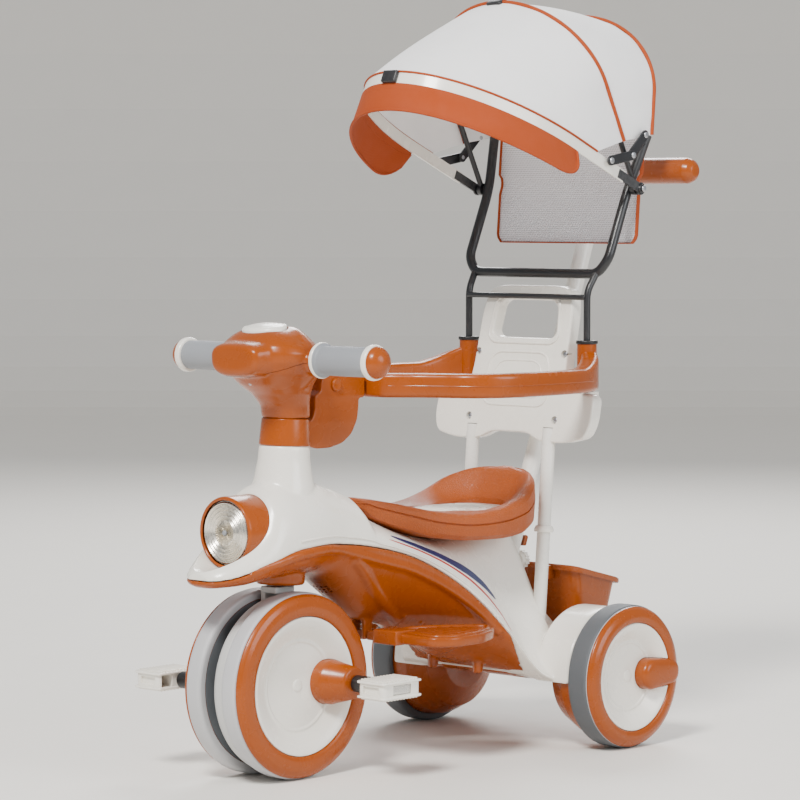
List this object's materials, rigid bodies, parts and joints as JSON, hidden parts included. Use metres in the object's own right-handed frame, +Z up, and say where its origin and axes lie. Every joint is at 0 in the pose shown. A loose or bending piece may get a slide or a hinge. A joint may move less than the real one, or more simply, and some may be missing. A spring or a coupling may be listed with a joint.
{
  "type": "children tricycle",
  "caption": "Pedal tricycle for a small child with a swing-open guard rail, dished seat, backrest, folding canopy, rear basket, footrest and parent push handle.",
  "frame": {"origin": "on the ground under the middle of the whole tricycle (bounding box)", "axes": "+Z up, -Y forward, the way the front wheel leads, +X to the rider's left"},
  "size_m": [0.442, 0.847, 1.0519],
  "materials": {
    "ivory_plastic": "smooth satin moulding",
    "orange_plastic": "satin moulding, the seat finely grained",
    "white_steel": "gloss powder coat",
    "pale_grey_plastic": "satin",
    "pale_grey_tyre": "matt",
    "grey_tyre": "matt",
    "grey_rubber": "matt, soft",
    "zinc_steel": "plated",
    "black_steel": "semi-gloss powder coat",
    "black_plastic": "satin",
    "reflector": "bright",
    "clear_lens": "clear, fluted",
    "white_fabric": "woven polyester, mesh at the back",
    "orange_fabric": "woven polyester over a stiff band"
  },
  "bodies": {
    "root": {"upper_shell": "ivory_plastic", "lower_shell": "orange_plastic", "seat": "orange_plastic", "seat_insert": "ivory_plastic", "headlight_housing": "orange_plastic", "headlight_reflector": "reflector", "headlight_lens": "clear_lens", "guard_bracket": "orange_plastic", "backrest": "ivory_plastic", "support_tube_left": "white_steel", "support_tube_right": "white_steel", "rear_axle": "zinc_steel", "canopy_frame": "black_steel", "rear_curtain": "white_fabric"},
    "steering": {"steering_stem": "zinc_steel", "fork": "pale_grey_plastic", "head_cover_lower": "orange_plastic", "head_cover_upper": "orange_plastic", "handlebar_tube": "zinc_steel", "grip_left": "grey_rubber", "grip_right": "grey_rubber", "bar_end_left": "orange_plastic", "bar_end_right": "orange_plastic"},
    "horn": {"horn_button": "ivory_plastic"},
    "front_wheels": {"front_drum": "pale_grey_plastic", "front_axle": "zinc_steel", "front_tyre_left": "pale_grey_tyre", "front_wheel_left": "orange_plastic", "front_dish_left": "ivory_plastic", "pedal_spindle_left": "black_plastic", "front_tyre_right": "pale_grey_tyre", "front_wheel_right": "orange_plastic", "front_dish_right": "ivory_plastic", "pedal_spindle_right": "black_plastic"},
    "pedal_l": {"pedal_left": "ivory_plastic"},
    "pedal_r": {"pedal_right": "ivory_plastic"},
    "rear_wheel_l": {"rear_tyre_left": "grey_tyre", "rear_wheel_left": "orange_plastic", "rear_dish_left": "ivory_plastic"},
    "rear_wheel_r": {"rear_tyre_right": "grey_tyre", "rear_wheel_right": "orange_plastic", "rear_dish_right": "ivory_plastic"},
    "guard_l": {"guard_arm_left": "orange_plastic"},
    "guard_r": {"guard_arm_right": "orange_plastic"},
    "latch": {"latch_button": "orange_plastic"},
    "push_handle": {"push_tube": "white_steel", "push_grip": "orange_plastic"},
    "knob": {"push_knob": "ivory_plastic"},
    "release_tab": {"push_tab": "orange_plastic"},
    "basket_body": {"basket": "orange_plastic"},
    "footrest_body": {"footrest": "orange_plastic"},
    "canopy_mid": {"canopy_mid_rib": "black_steel", "canopy_rear_panel": "white_fabric"},
    "canopy_front": {"canopy_front_rib": "ivory_plastic", "canopy_front_panel": "white_fabric", "canopy_visor": "orange_fabric"},
    "stay_rear_l": {"stay_rear_left": "black_steel"},
    "stay_front_l": {"stay_front_left": "black_steel"},
    "stay_rear_r": {"stay_rear_right": "black_steel"},
    "stay_front_r": {"stay_front_right": "black_steel"}
  },
  "joints": [
    {"name": "steering_turn", "type": "hinge", "parent": "root", "child": "steering", "pos_m": [0, -0.2735, 0.125], "axis": [0, 0.0471, 0.9989], "range_deg": [-40, 40]},
    {"name": "horn_press", "type": "slide", "parent": "steering", "child": "horn", "axis": [0, 0, -1], "range_m": [0, 0.0025], "stiffness_N_per_m": 400},
    {"name": "front_wheel_spin", "type": "hinge", "parent": "steering", "child": "front_wheels", "pos_m": [0, -0.2735, 0.125], "axis": [1, 0, 0], "continuous": true},
    {"name": "pedal_left_spin", "type": "hinge", "parent": "front_wheels", "child": "pedal_l", "pos_m": [0.143, -0.2065, 0.125], "axis": [1, 0, 0], "continuous": true},
    {"name": "pedal_right_spin", "type": "hinge", "parent": "front_wheels", "child": "pedal_r", "pos_m": [-0.143, -0.3405, 0.125], "axis": [1, 0, 0], "continuous": true},
    {"name": "rear_wheel_left_spin", "type": "hinge", "parent": "root", "child": "rear_wheel_l", "pos_m": [0.187, 0.2265, 0.101], "axis": [1, 0, 0], "continuous": true},
    {"name": "rear_wheel_right_spin", "type": "hinge", "parent": "root", "child": "rear_wheel_r", "pos_m": [-0.187, 0.2265, 0.101], "axis": [1, 0, 0], "continuous": true},
    {"name": "guard_left_swing", "type": "hinge", "parent": "root", "child": "guard_l", "pos_m": [0.112, 0.2365, 0.517], "axis": [0, 0, 1], "range_deg": [0, 75]},
    {"name": "guard_right_swing", "type": "hinge", "parent": "root", "child": "guard_r", "pos_m": [-0.112, 0.2365, 0.517], "axis": [0, 0, -1], "range_deg": [0, 75]},
    {"name": "latch_press", "type": "slide", "parent": "root", "child": "latch", "axis": [-1, 0, 0], "range_m": [0, 0.003], "stiffness_N_per_m": 400},
    {"name": "push_handle_slide", "type": "slide", "parent": "root", "child": "push_handle", "axis": [0, -0.3503, -0.9366], "range_m": [0, 0.06]},
    {"name": "push_knob_turn", "type": "hinge", "parent": "root", "child": "knob", "pos_m": [0, 0.2235, 0.252], "axis": [0, 1, 0], "range_deg": [-120, 120]},
    {"name": "release_tab_press", "type": "slide", "parent": "root", "child": "release_tab", "axis": [0, -0.9366, 0.3503], "range_m": [0, 0.0025], "stiffness_N_per_m": 400},
    {"name": "basket_lift", "type": "slide", "parent": "root", "child": "basket_body", "axis": [0, 0.3503, 0.9366], "range_m": [0, 0.1]},
    {"name": "footrest_fold", "type": "hinge", "parent": "root", "child": "footrest_body", "pos_m": [0, -0.1105, 0.177], "axis": [-1, 0, 0], "range_deg": [0, 35]},
    {"name": "canopy_fold", "type": "hinge", "parent": "root", "child": "canopy_mid", "pos_m": [0, 0.3025, 0.786], "axis": [-1, 0, 0], "range_deg": [0, 22]},
    {"name": "canopy_front_fold", "type": "hinge", "parent": "canopy_mid", "child": "canopy_front", "pos_m": [0, 0.3025, 0.786], "axis": [-1, 0, 0], "range_deg": [0, 30.8]},
    {"name": "stay_rear_left_turn", "type": "hinge", "parent": "root", "child": "stay_rear_l", "pos_m": [0.16, 0.3065, 0.862], "axis": [1, 0, 0], "range_deg": [0, 27.21]},
    {"name": "stay_front_left_turn", "type": "hinge", "parent": "stay_rear_l", "child": "stay_front_l", "pos_m": [0.162, 0.2745, 0.833], "axis": [1, 0, 0], "range_deg": [-122.37, 0]},
    {"name": "stay_rear_right_turn", "type": "hinge", "parent": "root", "child": "stay_rear_r", "pos_m": [-0.16, 0.3065, 0.862], "axis": [1, 0, 0], "range_deg": [0, 27.21]},
    {"name": "stay_front_right_turn", "type": "hinge", "parent": "stay_rear_r", "child": "stay_front_r", "pos_m": [-0.162, 0.2745, 0.833], "axis": [1, 0, 0], "range_deg": [-122.37, 0]}
  ],
  "couplings": [
    {"joint": "canopy_front_fold", "follows": "canopy_fold", "ratio": 1.4},
    {"joint": "stay_rear_left_turn", "follows": "canopy_fold", "ratio": 1.2345},
    {"joint": "stay_front_left_turn", "follows": "canopy_fold", "ratio": -5.56},
    {"joint": "stay_rear_right_turn", "follows": "canopy_fold", "ratio": 1.2345},
    {"joint": "stay_front_right_turn", "follows": "canopy_fold", "ratio": -5.56}
  ]
}
